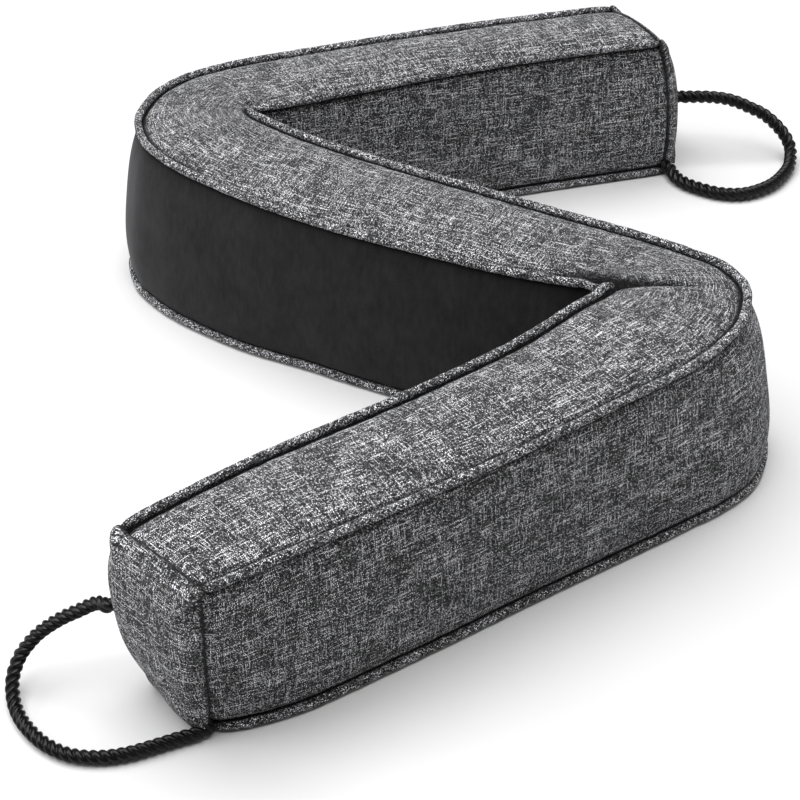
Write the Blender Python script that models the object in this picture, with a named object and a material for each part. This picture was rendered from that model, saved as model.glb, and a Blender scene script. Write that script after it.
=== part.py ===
"""A draught excluder: a long filled cushion of square section, folded into a Z on the floor.

A maker cuts a top panel, a grey side panel, a black loop side panel, a base panel and two
end panels, sews a piping cord into each of the four long seams and a rope handle into each
end, and fills the tube. The base panel is the underside of the filled body, and every
other piece is a solid of its own. Sizes and plan places are in millimetres, and TABLE_MIDDLE
is taken off the tables' places so that the cushion stands about the middle of its own plan.
Heights are above the floor, and the model is in metres.
"""

import math
from collections import namedtuple

import bpy
import numpy as np

MM = 0.001

# Driving dimensions, in millimetres
CORD_HEIGHT = 95.0          # middle of a top piping cord above the floor
PIPING = 4.6                # diameter of a piping cord
CLOTH = 1.5                 # thickness of a sewn panel
GAP = 0.35                  # space between two pieces that touch
CROWN = 4.5                 # how far the filling lifts the top above its seams
TOP_FLATNESS = 2.6          # power of the crown's curve from seam to seam
BELLY = 2.6                 # how far it pushes a side out between its seams
SIDE_FLATNESS = 3.4         # power of the belly's curve
END_BELLY = 6.0             # how much more it pushes on the loop side of the front end
END_BELLY_REACH = 30.0      # where that has faded, from the front end
END_CROWN = 0.35            # share of the crown that is left at the two ends
CROWN_REACH = 60.0          # length over which a whole crown would build up
WAVES = [(0.5, 23.0, 0.0), (0.4, 9.5, 1.0)]  # height, length and start of the top's unevenness
TABLE_MIDDLE = (2.3, 2.62)   # middle of the cushion's plan, in the plan that the tables use
ROPE_STRANDS = 3
STRAND_DEPTH = 0.19         # depth of the grooves between the strands, as a share of the rope

BASE_CORD_HEIGHT = PIPING / 2 + GAP
SEAT = PIPING / 2 + 0.5     # from the middle of a cord to the edge of a panel
TUCK = 0.3                  # how far a panel's edge lies inside the middle of its cord
LINING = CLOTH + GAP        # from the outside of a panel to the filled body
END_INSET = 0.8             # how far the filled body stays behind the panels' cut ends
CORD_INSET = GAP + 0.3      # how far the cords do
BODY_CORNER = 1.2           # how far the filled body's corners stay inside the seams
BODY_FOOT_LIFT = 0.2        # and how much higher its sides start than their panels end
CORNER_INSET = 0.6          # how far an end panel's corners stay inside the cords' outside
FULL_STEP = 9.0             # distance between stations where a side has its whole belly
LEAST_BELLY = 0.15          # share of the belly that is left inside the tightest bend

# One row for each section of the cushion, from the front end to the rear end. left and
# right are the plan places of the two top cords, seen by someone who walks along it. The
# feet say how far the base cords stand outside the top ones, and steps is the number of
# stations up to the next row.
Section = namedtuple("Section", "left_x left_y right_x right_y left_foot right_foot steps")
SECTIONS = [
    Section(-127.0, -231.0, -91.0, -268.0, -2.0, -12.0, 1),
    Section(-122.5, -225.5, -85.5, -265.0, 0.0, -10.0, 2),
    Section(-81.0, -190.0, -45.0, -238.0, 0.0, -1.0, 3),
    Section(-3.0, -134.0, 34.0, -184.0, 0.0, 0.0, 2),
    Section(44.0, -96.0, 88.0, -143.0, 0.0, 4.0, 2),
    Section(75.0, -64.0, 121.5, -117.0, 0.0, 7.0, 2),
    Section(85.0, -55.6, 137.5, -100.0, 0.0, 12.4, 2),
    Section(88.0, -52.0, 152.0, -77.0, 0.0, 17.4, 2),
    Section(88.3, -50.0, 157.3, -52.5, 0.0, 18.6, 2),
    Section(87.0, -47.6, 150.5, -32.5, 0.0, 13.8, 2),
    Section(84.0, -46.6, 133.5, -17.5, 0.0, 8.0, 2),
    Section(74.0, -46.0, 112.5, -3.5, 0.0, 3.0, 2),
    Section(37.0, -34.0, 68.0, 22.0, 0.0, 0.0, 1),
    Section(8.0, -21.0, 37.0, 40.0, 2.0, 0.0, 2),
    Section(-52.0, 9.0, -23.0, 75.0, 2.0, 0.0, 2),
    Section(-99.0, 40.0, -68.0, 105.0, 8.0, 0.0, 2),
    Section(-140.0, 76.0, -94.0, 127.5, 10.6, 0.0, 2),
    Section(-155.0, 99.0, -97.3, 131.0, 11.2, 0.0, 2),
    Section(-160.5, 124.0, -97.7, 133.2, 10.8, 0.0, 2),
    Section(-156.0, 148.0, -96.4, 135.3, 8.5, 0.0, 2),
    Section(-142.0, 171.0, -93.0, 136.8, 6.0, 0.0, 2),
    Section(-116.0, 189.5, -79.0, 141.0, 3.0, 0.0, 2),
    Section(-55.0, 214.0, -31.0, 161.0, 0.0, -2.0, 2),
    Section(30.0, 244.0, 52.0, 194.0, 0.0, -3.0, 2),
    Section(99.0, 264.0, 121.0, 214.5, 0.0, -2.5, 2),
    Section(115.5, 268.0, 140.5, 219.0, 0.0, -2.0, 1),
    Section(120.5, 268.5, 145.5, 220.0, 0.0, -2.0, 0),
]

# Where the top cloth folds at an inner corner: the row of the fold, the side that it starts
# from (0 left, 1 right), its depth there and the share of the width that it reaches.
Fold = namedtuple("Fold", "row side depth reach")
FOLDS = [Fold(8, 0.0, 7.0, 0.62), Fold(20, 1.0, 4.5, 0.40)]
FOLD_SWELL = 1.6            # how far the cloth rises beside a fold
FOLD_ROWS = 0.6             # half the width of a fold, in rows
SWELL_REACH = 0.9           # share of the width that its swell reaches
FOLD_AT_SEAM = 0.25         # share of a fold's depth that is left at a seam

# Where the filling stretches the outside of a bend: the middle row, the side (-1 left, 1
# right), how far it pushes beyond the belly, and over how many rows.
Bulge = namedtuple("Bulge", "row side push rows")
BULGES = [Bulge(7.6, 1, 3.4, 2.6), Bulge(18.0, -1, 2.4, 2.4)]

# The shape of an end. dome is how far the filling pushes its panel out, low_left and
# low_right are the share of that at the floor, and full is the height from where it is whole.
# foot is how far the foot stands further towards the rear than the top does, and skew is how
# much more it does so at its left corner, and less at its right one. The shift grows from the
# top cords down as (1 - height ** rise) ** power, and fades within reach. heel is how far the
# lower edge of the end panel stands out from the base cords' ends.
End = namedtuple("End", "dome low_left low_right full foot skew rise power reach heel")
FRONT_END = End(9.0, 0.25, 0.8, 45.0, 6.2, 2.2, 1.0, 2.0, 55.0, 2.4)
REAR_END = End(13.5, 1.0, 1.0, 45.0, 13.0, 0.0, 2.5, 1.0, 55.0, 0.0)

# Places across the top and down a side, as shares from seam to seam
TOP_SHARES = [0.0, 0.06, 0.17, 0.33, 0.5, 0.67, 0.83, 0.94, 1.0]
SIDE_SHARES = [0.0, 0.09, 0.28, 0.72, 0.91, 1.0]
BASE_SHARES = [0.0, 0.5, 1.0]
# Rings of an end's dome: the size of each as a share of the section, and its share of the rise
DOME_RINGS = [(0.95, 0.43), (0.75, 0.85), (0.38, 0.98)]

# The two handles, each from the far upright seam of an end, down to the floor and back to the
# near foot of the same end: x, y and the height of the rope's middle. lay is the length of one
# full turn of a strand. The photograph shows the rear rope as the thicker one.
FRONT_ROPE, REAR_ROPE = 6.6, 8.2
LIE = 0.2                   # space under a rope that lies on the floor
FRONT_LIES, REAR_LIES = FRONT_ROPE / 2 + LIE, REAR_ROPE / 2 + LIE
Handle = namedtuple("Handle", "diameter lay route")
FRONT_HANDLE = Handle(FRONT_ROPE, 12.0, [
    (-137.3, -229.3, 50.0), (-140.3, -225.5, 48.4), (-144.5, -223.0, 45.6),
    (-151.0, -222.0, 41.0), (-160.0, -221.0, 35.0), (-169.5, -220.5, 27.0),
    (-175.5, -221.5, 20.5), (-180.0, -224.0, 14.5), (-182.5, -230.0, 8.5),
    (-181.5, -238.5, 4.8), (-178.0, -247.5, FRONT_LIES), (-172.0, -256.5, FRONT_LIES),
    (-163.5, -265.0, FRONT_LIES), (-152.5, -271.0, FRONT_LIES), (-140.0, -272.5, FRONT_LIES),
    (-128.0, -270.5, FRONT_LIES), (-116.5, -266.0, FRONT_LIES), (-106.0, -261.5, FRONT_LIES),
    (-100.8, -259.8, FRONT_LIES),
])
REAR_HANDLE = Handle(REAR_ROPE, 15.5, [
    (139.9, 280.7, 40.0), (147.6, 277.6, 40.0), (155.0, 271.2, 39.8),
    (160.8, 263.5, 39.5), (166.5, 258.2, 39.5), (174.5, 256.6, 40.0),
    (182.8, 256.6, 40.0), (190.6, 256.9, 39.3), (198.5, 257.3, 37.8),
    (206.4, 257.0, 35.3), (213.1, 256.4, 32.3), (220.6, 256.2, 28.8),
    (226.7, 254.9, 24.8), (232.4, 253.0, 19.9), (237.1, 250.0, 14.8),
    (239.8, 245.2, 10.0), (239.5, 238.5, 6.8), (237.0, 228.8, 4.9),
    (231.3, 218.4, REAR_LIES), (223.5, 207.8, REAR_LIES), (214.0, 200.2, REAR_LIES),
    (204.5, 195.6, REAR_LIES), (195.0, 194.6, REAR_LIES), (186.0, 196.6, REAR_LIES),
    (177.7, 201.0, REAR_LIES), (169.8, 206.7, REAR_LIES), (164.3, 213.5, REAR_LIES),
    (161.7, 219.8, 4.5), (160.8, 223.6, 5.2),
])

SHARP_ANGLE = math.radians(50.0)
GREY = (0.105, 0.105, 0.115, 1.0)
LOOP_BLACK = (0.012, 0.012, 0.013, 1.0)
ROPE_BLACK = (0.008, 0.008, 0.009, 1.0)


def clear_scene():
    for item in list(bpy.data.objects):
        bpy.data.objects.remove(item, do_unlink=True)


def new_collection(name):
    collection = bpy.data.collections.new(name)
    bpy.context.scene.collection.children.link(collection)
    return collection


def material(name, colour, roughness):
    made = bpy.data.materials.new(name)
    made.use_nodes = True
    shader = made.node_tree.nodes["Principled BSDF"]
    shader.inputs["Base Color"].default_value = colour
    shader.inputs["Roughness"].default_value = roughness
    shader.inputs["Metallic"].default_value = 0.0
    made.diffuse_color = colour
    return made


def read_column(values, at):
    """Reads a column at fractional rows: smooth, and never past its neighbouring values."""
    values = np.array(values, float)
    step = np.diff(values)
    before, after = step[:-1], step[1:]
    slope = np.zeros(len(values))
    same = before * after > 0
    slope[1:-1][same] = 2 * (before * after)[same] / (before + after)[same]
    slope[0], slope[-1] = step[0], step[-1]
    row = np.minimum(at.astype(int), len(values) - 2)
    u = at - row
    rise = step[row]
    start, end = slope[row], slope[row + 1]
    return values[row] + u * start + u**2 * (3 * rise - 2 * start - end) + u**3 * (
        start + end - 2 * rise
    )


def unit(vectors):
    return vectors / np.linalg.norm(vectors, axis=-1, keepdims=True)


def along_line(points):
    """The direction of travel at each point of a line."""
    return unit(np.gradient(points, axis=0))


def length_to(points):
    """How far along a line each of its points is."""
    steps = np.linalg.norm(np.diff(points, axis=0), axis=1)
    return np.concatenate([[0.0], np.cumsum(steps)])


def hump(shares, power):
    """0 at both seams and 1 between them, the flatter the higher the power."""
    return 1.0 - np.abs(2.0 * np.array(shares) - 1.0) ** power


class Cushion:
    """The outside of the cushion's cloth at every station, from the table of sections."""

    def __init__(self):
        rows = [np.arange(i, i + 1, 1.0 / s.steps) for i, s in enumerate(SECTIONS) if s.steps]
        self.row = np.concatenate(rows + [[len(SECTIONS) - 1.0]])
        columns = [read_column(column, self.row) for column in zip(*SECTIONS)]
        self.left = np.stack(columns[0:2], axis=1) - TABLE_MIDDLE
        self.right = np.stack(columns[2:4], axis=1) - TABLE_MIDDLE
        self.left_foot, self.right_foot = columns[4], columns[5]
        self.out = unit(self.right - self.left)
        self.ahead = np.stack([-self.out[:, 1], self.out[:, 0]], axis=1)
        self.left_out = np.stack([-along_line(self.left)[:, 1], along_line(self.left)[:, 0]], axis=1)
        self.right_out = np.stack([along_line(self.right)[:, 1], -along_line(self.right)[:, 0]], axis=1)
        self.middle = (self.left + self.right) / 2
        self.half_width = np.linalg.norm(self.right - self.left, axis=1) / 2
        self.from_front = length_to(self.middle)
        self.from_rear = self.from_front[-1] - self.from_front
        self.count = len(self.row)

    def lean(self, plan, height):
        """Moves points of a section along the cushion, where an end's foot is drawn in or out."""
        level = np.clip(np.asarray(height) / CORD_HEIGHT, 0.0, 1.0)
        across = ((plan - self.middle) * self.out).sum(axis=1) / self.half_width
        shift = 0.0
        for end, distance in ((FRONT_END, self.from_front), (REAR_END, self.from_rear)):
            near = np.clip(1.0 - distance / end.reach, 0.0, 1.0) ** 2
            foot = end.foot - end.skew * np.clip(across, -1.0, 1.0)
            shift = shift + foot * near * (1.0 - level**end.rise) ** end.power
        return plan + self.ahead * shift[:, None]

    def joined(self, plan, height):
        height = np.broadcast_to(height, self.row.shape)
        return np.column_stack([self.lean(plan, height), height])

    def top_cord(self, side):
        return self.joined(self.left if side < 0 else self.right, CORD_HEIGHT)

    def foot(self, side):
        if side < 0:
            return self.left + self.left_out * self.left_foot[:, None]
        return self.right + self.right_out * self.right_foot[:, None]

    def base_cord(self, side):
        return self.joined(self.foot(side), BASE_CORD_HEIGHT)

    def fold_height(self, share):
        """How far the folds at the inner corners lower or raise the top at a share of its width."""
        change = np.zeros(self.count)
        for fold in FOLDS:
            from_inner = abs(share - fold.side)
            depth = fold.depth * max(0.0, 1.0 - from_inner / fold.reach)
            away = np.abs(self.row - fold.row)
            change -= depth * np.clip(1.0 - away / FOLD_ROWS, 0.0, 1.0)
            swell = FOLD_SWELL * max(0.0, 1.0 - from_inner / SWELL_REACH)
            change += swell * np.clip(1.0 - np.abs(away - 1.0), 0.0, 1.0)
        return change if 0.0 < share < 1.0 else change * FOLD_AT_SEAM

    def top(self, depth=0.0):
        """The top panel's surface, depth below its outside: stations by places across."""
        level = np.minimum(1.0, END_CROWN + self.from_front / CROWN_REACH)
        level = level * np.minimum(1.0, END_CROWN + self.from_rear / CROWN_REACH)
        crown = CROWN + sum(a * np.sin(self.from_front / b + c) for a, b, c in WAVES)
        start = self.left - self.left_out * SEAT
        end = self.right - self.right_out * SEAT
        rows = []
        for share, rise in zip(TOP_SHARES, hump(TOP_SHARES, TOP_FLATNESS)):
            plan = start + (end - start) * share
            height = CORD_HEIGHT - TUCK + crown * level * rise + self.fold_height(share)
            rows.append(self.joined(plan, height - depth))
        return np.stack(rows, axis=1)

    def side(self, side, depth=0.0):
        """A side panel's surface, depth inside its outside, from its top seam to its foot."""
        edge = self.left if side < 0 else self.right
        out = self.left_out if side < 0 else self.right_out
        foot = self.foot(side)
        apart = np.gradient(length_to(edge))
        belly = BELLY * np.clip(apart / FULL_STEP, LEAST_BELLY, 1.0)
        if side < 0:
            fade = np.clip(1.0 - self.from_front / END_BELLY_REACH, 0.0, 1.0)
            belly = belly + END_BELLY * fade
        for bulge in BULGES:
            if bulge.side == side:
                belly = belly + bulge.push * np.exp(-(((self.row - bulge.row) / bulge.rows) ** 2))
        high, low = CORD_HEIGHT - SEAT, BASE_CORD_HEIGHT + SEAT
        rows = []
        for share, rise in zip(SIDE_SHARES, hump(SIDE_SHARES, SIDE_FLATNESS)):
            stand = belly * rise - TUCK - depth
            plan = edge + (foot - edge) * share + out * stand[:, None]
            rows.append(self.joined(plan, high + (low - high) * share))
        return np.stack(rows, axis=1)

    def base(self):
        """The flat underside of the filled body."""
        inside = SEAT + BODY_CORNER
        start = self.foot(-1) - self.left_out * inside
        end = self.foot(1) - self.right_out * inside
        height = np.zeros(self.count)
        height[[0, -1]] = LINING + GAP
        rows = [self.joined(start + (end - start) * share, height) for share in BASE_SHARES]
        return np.stack(rows, axis=1)

    def body_rings(self):
        """The filled body's outline at every station, once round, under its cloth."""
        top = self.top(LINING)
        top[:, 0, :2] -= self.left_out * BODY_CORNER
        top[:, -1, :2] -= self.right_out * BODY_CORNER
        top[:, 0, 2] = np.minimum(top[:, 0, 2], top[:, 1, 2])
        top[:, -1, 2] = np.minimum(top[:, -1, 2], top[:, -2, 2])
        right = self.side(1, LINING)
        left = self.side(-1, LINING)
        for panel in (right, left):
            panel[:, 0, 2] -= BODY_CORNER
            panel[:, -1, 2] += BODY_FOOT_LIFT
        rings = np.concatenate([top, right, self.base()[:, ::-1], left[:, ::-1]], axis=1)
        rings[0, :, :2] += self.ahead[0] * END_INSET
        rings[-1, :, :2] -= self.ahead[-1] * END_INSET
        return rings

    def end_outline(self, station):
        """The outline that an end panel covers: the cloth's outside, with the cords' corners."""
        top = self.top()[station]
        right, left = self.side(1)[station], self.side(-1)[station]
        base = self.base()[station][::-1]
        base[:, 2] = GAP
        end, sign = (FRONT_END, -1.0) if station == 0 else (REAR_END, 1.0)
        base[:-1, :2] += self.ahead[station] * sign * end.heel
        right[-1, :2] += self.ahead[station] * sign * end.heel / 2
        out = np.append(self.out[station], 0.0)
        corner = PIPING / 2 - CORNER_INSET
        rise = np.array([0.0, 0.0, corner])
        top_right = self.top_cord(1)[station] + out * corner + rise
        top_left = self.top_cord(-1)[station] - out * corner + rise
        return np.concatenate([[top_left], top, [top_right], right, base, left[::-1]])

    def end_middle(self, station):
        """The middle of an end, level with half the cushion's height."""
        outline = self.end_outline(station)
        middle = outline.mean(axis=0)
        middle[2] = (outline[:, 2].min() + outline[:, 2].max()) / 2
        return middle


def make_object(name, collection, points, faces, look):
    """A mesh object from points in millimetres and faces that point outwards."""
    mesh = bpy.data.meshes.new(name)
    mesh.from_pydata([tuple(p) for p in np.asarray(points) * MM], [], faces)
    mesh.materials.append(look)
    mesh.shade_smooth()
    mesh.set_sharp_from_angle(angle=SHARP_ANGLE)
    made = bpy.data.objects.new(name, mesh)
    collection.objects.link(made)
    return made


def rest_at(made, place):
    """Gives an object its origin at a place of its own, without moving its shape."""
    origin = np.append(place[:2], 0.0) * MM
    for vertex in made.data.vertices:
        vertex.co = [c - o for c, o in zip(vertex.co, origin)]
    made.location = origin


def strip(first, second, count, turn=False):
    """Triangles between two rows of point numbers, each a list as long as count."""
    faces = []
    for i in range(count - 1):
        a, b, c, d = first[i], first[i + 1], second[i + 1], second[i]
        faces += [(a, b, c), (a, c, d)]
    return [face[::-1] for face in faces] if turn else faces


def dome_rings(outline, middle, direction, end, less=0.0):
    """An end's outline, its rings towards the middle, and its middle point."""
    to_right = np.cross((0.0, 0.0, 1.0), direction) * (1.0 if end is FRONT_END else -1.0)
    across = (outline - middle) @ to_right
    across = np.clip(across / np.abs(across).max(), -1.0, 1.0)
    low = (end.low_left * (1.0 - across) + end.low_right * (1.0 + across)) / 2
    rings = [outline]
    for size, share in DOME_RINGS:
        ring = middle + (outline - middle) * size
        level = np.clip(ring[:, 2] / end.full, 0.0, 1.0)
        swell = low + (1.0 - low) * level * (2.0 - level)
        rings.append(ring + direction * ((end.dome - less) * share * swell)[:, None])
    return rings, middle + direction * (end.dome - less)


def filled_body(cushion, collection, look):
    """The filled tube. Its flat underside is the base panel, and its ends are domed."""
    rings = cushion.body_rings()
    around = rings.shape[1]
    points = list(rings.reshape(-1, 3))
    numbers = [list(range(i * around, (i + 1) * around)) for i in range(cushion.count)]
    faces = []
    for before, after in zip(numbers, numbers[1:]):
        faces += strip(before + before[:1], after + after[:1], around + 1)
    for station, sign, end in ((0, -1.0, FRONT_END), (cushion.count - 1, 1.0, REAR_END)):
        direction = np.append(cushion.ahead[station] * sign, 0.0)
        back = direction * END_INSET
        middle = cushion.end_middle(station) - back
        domes, tip = dome_rings(rings[station], middle, direction, end, less=GAP)
        edge = numbers[station]
        for ring in domes[1:]:
            points += list(ring)
            inner = list(range(len(points) - around, len(points)))
            faces += strip(edge + edge[:1], inner + inner[:1], around + 1, turn=sign < 0)
            edge = inner
        points.append(tip)
        last = len(points) - 1
        closed = edge + edge[:1]
        for a, b in zip(closed, closed[1:]):
            faces.append((a, b, last) if sign > 0 else (b, a, last))
    body = make_object("filled_body", collection, points, faces, look)
    rest_at(body, np.zeros(3))
    return body


def panel(name, collection, outside, inside, look):
    """A sewn panel: a sheet between two surfaces with the same stations and places."""
    stations, places = outside.shape[:2]
    points = np.concatenate([outside.reshape(-1, 3), inside.reshape(-1, 3)])
    under = stations * places
    faces = []
    for i in range(stations - 1):
        a = list(range(i * places, (i + 1) * places))
        b = [n + places for n in a]
        faces += strip(a, b, places)
        faces += strip([n + under for n in a], [n + under for n in b], places, turn=True)
    rim = list(range(places))
    rim += [i * places + places - 1 for i in range(1, stations)]
    rim += list(range(under - 2, under - places - 1, -1))
    rim += [i * places for i in range(stations - 2, 0, -1)]
    for p, q in zip(rim, rim[1:] + rim[:1]):
        faces += [(q, p, p + under), (q, p + under, q + under)]
    made = make_object(name, collection, points, faces, look)
    rest_at(made, outside[stations // 2, places // 2])
    return made


def end_panel(name, cushion, station, collection, look):
    """A domed end panel, over the cut ends of the long panels and their cords."""
    sign, end = (-1.0, FRONT_END) if station == 0 else (1.0, REAR_END)
    direction = np.append(cushion.ahead[station] * sign, 0.0)
    outline = cushion.end_outline(station)
    around = len(outline)
    middle = cushion.end_middle(station)
    near, far = direction * GAP, direction * LINING
    inner, inner_tip = dome_rings(outline + near, middle + near, direction, end)
    outer, outer_tip = dome_rings(outline + far, middle + far, direction, end)
    points, layers = [], []
    for rings, tip in ((inner, inner_tip), (outer, outer_tip)):
        numbers = []
        for ring in rings:
            points += list(ring)
            numbers.append(list(range(len(points) - around, len(points))))
        points.append(tip)
        layers.append((numbers, len(points) - 1))
    faces = []
    for (numbers, tip), turn in zip(layers, (True, False)):
        for edge, ring in zip(numbers, numbers[1:]):
            faces += strip(edge + edge[:1], ring + ring[:1], around + 1, turn=turn)
        closed = numbers[-1] + numbers[-1][:1]
        for a, b in zip(closed, closed[1:]):
            faces.append((b, a, tip) if turn else (a, b, tip))
    low, high = layers[0][0][0], layers[1][0][0]
    faces += strip(low + low[:1], high + high[:1], around + 1)
    if sign < 0:
        faces = [face[::-1] for face in faces]
    made = make_object(name, collection, points, faces, look)
    rest_at(made, outline.mean(axis=0))
    return made


def piping(name, cushion, line, collection, look):
    """One piping cord, a round tube through the stations, short of the end panels."""
    line = line.copy()
    line[0, :2] += cushion.ahead[0] * CORD_INSET
    line[-1, :2] -= cushion.ahead[-1] * CORD_INSET
    data = bpy.data.curves.new(name, "CURVE")
    data.dimensions = "3D"
    data.bevel_depth = PIPING / 2 * MM
    data.bevel_resolution = 2
    data.use_fill_caps = True
    origin = np.append(line[len(line) // 2, :2], 0.0)
    spline = data.splines.new("POLY")
    spline.points.add(len(line) - 1)
    for point, place in zip(spline.points, (line - origin) * MM):
        point.co = (*place, 1.0)
    data.materials.append(look)
    made = bpy.data.objects.new(name, data)
    made.location = origin * MM
    collection.objects.link(made)
    return made


def smooth_route(route, step):
    """A smooth curve through a route's points, read at even steps."""
    points = np.array(route, float) - (*TABLE_MIDDLE, 0.0)
    padded = np.vstack([2 * points[0] - points[1], points, 2 * points[-1] - points[-2]])
    fine = []
    for a, b, c, d in zip(padded, padded[1:], padded[2:], padded[3:]):
        for u in np.linspace(0.0, 1.0, 12, endpoint=False):
            fine.append(0.5 * (2 * b + (c - a) * u + (2 * a - 5 * b + 4 * c - d) * u**2
                               + (3 * b - a - 3 * c + d) * u**3))
    fine = np.array(fine + [points[-1]])
    along = length_to(fine)
    at = np.linspace(0.0, along[-1], max(2, round(along[-1] / step)) + 1)
    return np.stack([np.interp(at, along, fine[:, k]) for k in range(3)], axis=1)


def rope_handle(name, handle, collection, look):
    """A laid rope: a six-sided tube whose corners stand out and in by turns, so that the
    strands run round it. Each ring is a sixth of a turn further on than the one before."""
    sides = 2 * ROPE_STRANDS
    line = smooth_route(handle.route, handle.lay / sides)
    high = handle.diameter / 2
    low = high - handle.diameter * STRAND_DEPTH / 2
    travel = along_line(line)
    across = unit(np.cross(travel[0], (0.0, 0.0, 1.0)))
    points = []
    for i, (place, direction) in enumerate(zip(line, travel)):
        across = unit(across - direction * (across @ direction))
        upward = np.cross(direction, across)
        for k in range(sides):
            angle = 2 * math.pi * k / sides
            radius = high if (k + i) % 2 == 0 else low
            points.append(place + radius * (across * math.cos(angle) + upward * math.sin(angle)))
    faces = []
    for i in range(len(line) - 1):
        for k in range(sides):
            a, b = i * sides + k, i * sides + (k + 1) % sides
            c, d = b + sides, a + sides
            ridge = (k + i) % 2 == 0
            faces += [(a, b, c), (a, c, d)] if ridge else [(a, b, d), (b, c, d)]
    faces.append(tuple(range(sides))[::-1])
    faces.append(tuple(range(len(points) - sides, len(points))))
    made = make_object(name, collection, points, faces, look)
    rest_at(made, line[0])
    return made


def build():
    clear_scene()
    collection = new_collection("Draught excluder")
    grey = material("Grey weave", GREY, 0.9)
    loop = material("Black loop cloth", LOOP_BLACK, 0.95)
    rope = material("Black rope", ROPE_BLACK, 0.45)
    cushion = Cushion()

    root = bpy.data.objects.new("draught_excluder", None)
    collection.objects.link(root)
    made = [filled_body(cushion, collection, grey)]
    made.append(panel("top_panel", collection, cushion.top(), cushion.top(CLOTH), grey))
    made.append(
        panel("side_panel_grey", collection, cushion.side(1), cushion.side(1, CLOTH), grey)
    )
    outside, inside = (cushion.side(-1, depth)[:, ::-1] for depth in (0.0, CLOTH))
    made.append(panel("side_panel_loop", collection, outside, inside, loop))
    made.append(end_panel("end_panel_front", cushion, 0, collection, grey))
    made.append(end_panel("end_panel_rear", cushion, cushion.count - 1, collection, grey))
    for side, word in ((-1, "loop"), (1, "grey")):
        made.append(piping("piping_top_" + word, cushion, cushion.top_cord(side), collection, grey))
        made.append(piping("piping_base_" + word, cushion, cushion.base_cord(side), collection, grey))
    made.append(rope_handle("rope_handle_front", FRONT_HANDLE, collection, rope))
    made.append(rope_handle("rope_handle_rear", REAR_HANDLE, collection, rope))
    for item in made:
        item.parent = root


build()
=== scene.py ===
"""The look of the draught excluder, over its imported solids.

The plan of the folded cushion is repeated from the part's source, in millimetres, and is
read here at many more stations. Each panel is then a sheet of cloth with its own seams,
creases and weave, each long seam has its corded piping, and each handle its laid strands.
"""

import math
from collections import namedtuple

import bpy
import numpy as np
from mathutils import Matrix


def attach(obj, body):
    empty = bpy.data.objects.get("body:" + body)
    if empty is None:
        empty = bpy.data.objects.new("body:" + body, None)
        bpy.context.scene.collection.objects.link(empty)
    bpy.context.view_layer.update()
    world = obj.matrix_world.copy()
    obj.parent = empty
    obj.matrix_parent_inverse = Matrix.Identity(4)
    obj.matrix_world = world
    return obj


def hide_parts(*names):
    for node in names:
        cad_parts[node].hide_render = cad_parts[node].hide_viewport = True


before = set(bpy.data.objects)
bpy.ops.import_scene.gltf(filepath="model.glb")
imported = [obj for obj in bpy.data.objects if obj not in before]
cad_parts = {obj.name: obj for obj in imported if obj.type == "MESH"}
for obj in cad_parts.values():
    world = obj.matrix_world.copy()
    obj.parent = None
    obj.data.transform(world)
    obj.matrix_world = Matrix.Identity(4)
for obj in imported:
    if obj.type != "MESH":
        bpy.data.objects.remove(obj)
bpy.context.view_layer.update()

MM = 0.001
UP = np.array([0.0, 0.0, 1.0])

# Sizes repeated from the part's source, in millimetres
CORD_HEIGHT = 95.0  # middle of a top piping cord above the floor
PIPING = 4.6  # diameter of a piping cord
GAP = 0.35  # space between two pieces that touch
CROWN = 4.5  # how far the filling lifts the top above its seams
TOP_FLATNESS = 2.6  # power of the crown's curve from seam to seam
CROWN_REACH = 60.0  # length over which a whole crown would build up
BELLY = 2.6  # how far the filling pushes a side out between its seams
SIDE_FLATNESS = 3.4  # power of the belly's curve
END_BELLY = 6.0  # how much more it pushes on the loop side of the front end
END_BELLY_REACH = 30.0  # where that has faded, from the front end
WAVES = [(0.5, 23.0, 0.0), (0.4, 9.5, 1.0)]  # height, length and start of the top's unevenness
ROPE_STRANDS = 3
TABLE_MIDDLE = (2.3, 2.62)  # middle of the cushion's plan, in the plan that the tables use
BASE_CORD_HEIGHT = PIPING / 2 + GAP
SEAT = PIPING / 2 + 0.5  # from the middle of a cord to the edge of a panel
TUCK = 0.3  # how far a panel's edge lies inside the middle of its cord

# Sizes that only the cloth has
THICKNESS = 1.3  # of a panel
UNDER = 2.1  # from the outside of a panel to the filling
FRONT_CROWN = 0.35  # share of the crown that is left at the front end
REAR_CROWN = 0.75  # and at the rear one
ALONG_STEP = 2.3  # between stations on a straight arm
CREASE_STEP = 0.7  # and beside a crease
SEAM_ROLL = 2.1  # how deep the top's edge rolls in beside its cord
SIDE_ROLL = 1.3  # and a side panel's edge
ROLL_REACH = 1.5  # and over what distance
FRONT_ROLL = 1.5  # how far the long panels roll in at the front end panel
REAR_ROLL = 0.9  # and at the rear one
END_ROLL_REACH = 1.6  # and over what distance
PUCKER_REACH = 3.5  # how far the gathers of a seam reach into a panel
TOP_PUCKER = 0.16  # how deep they are on the top
SIDE_PUCKER = 0.13  # and on a side
TOP_DENT = 0.45  # how uneven the top is
SIDE_DENT = 0.5  # and a side
FLANGE = 6.5  # how far a cord's bias strip reaches into its seam
CORD_SIDES = 16  # round a cord, beside its flange
CORD_STEP = 1.5  # between rings along a cord
CORD_SHORT = GAP + 0.3  # how far a cord stops before the ends
CORD_SLACK = 0.12  # how much less than its size in the solids a cord's radius is
CORD_TAPER = 0.9  # how far it draws in at its ends
TAPER_REACH = 2.2  # and over what distance
SEAM_ANGLE = 14.0  # round a cord, from its flange to its nearest side, in degrees
FLANGE_ANGLE = 0.04  # half of a flange's thickness, in radians
YARN = 0.00044  # pitch of the weave, in metres
SLUB = 0.013  # length of a thick place in a yarn, in metres
DASH = 0.0008  # and of a light place in it
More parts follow.
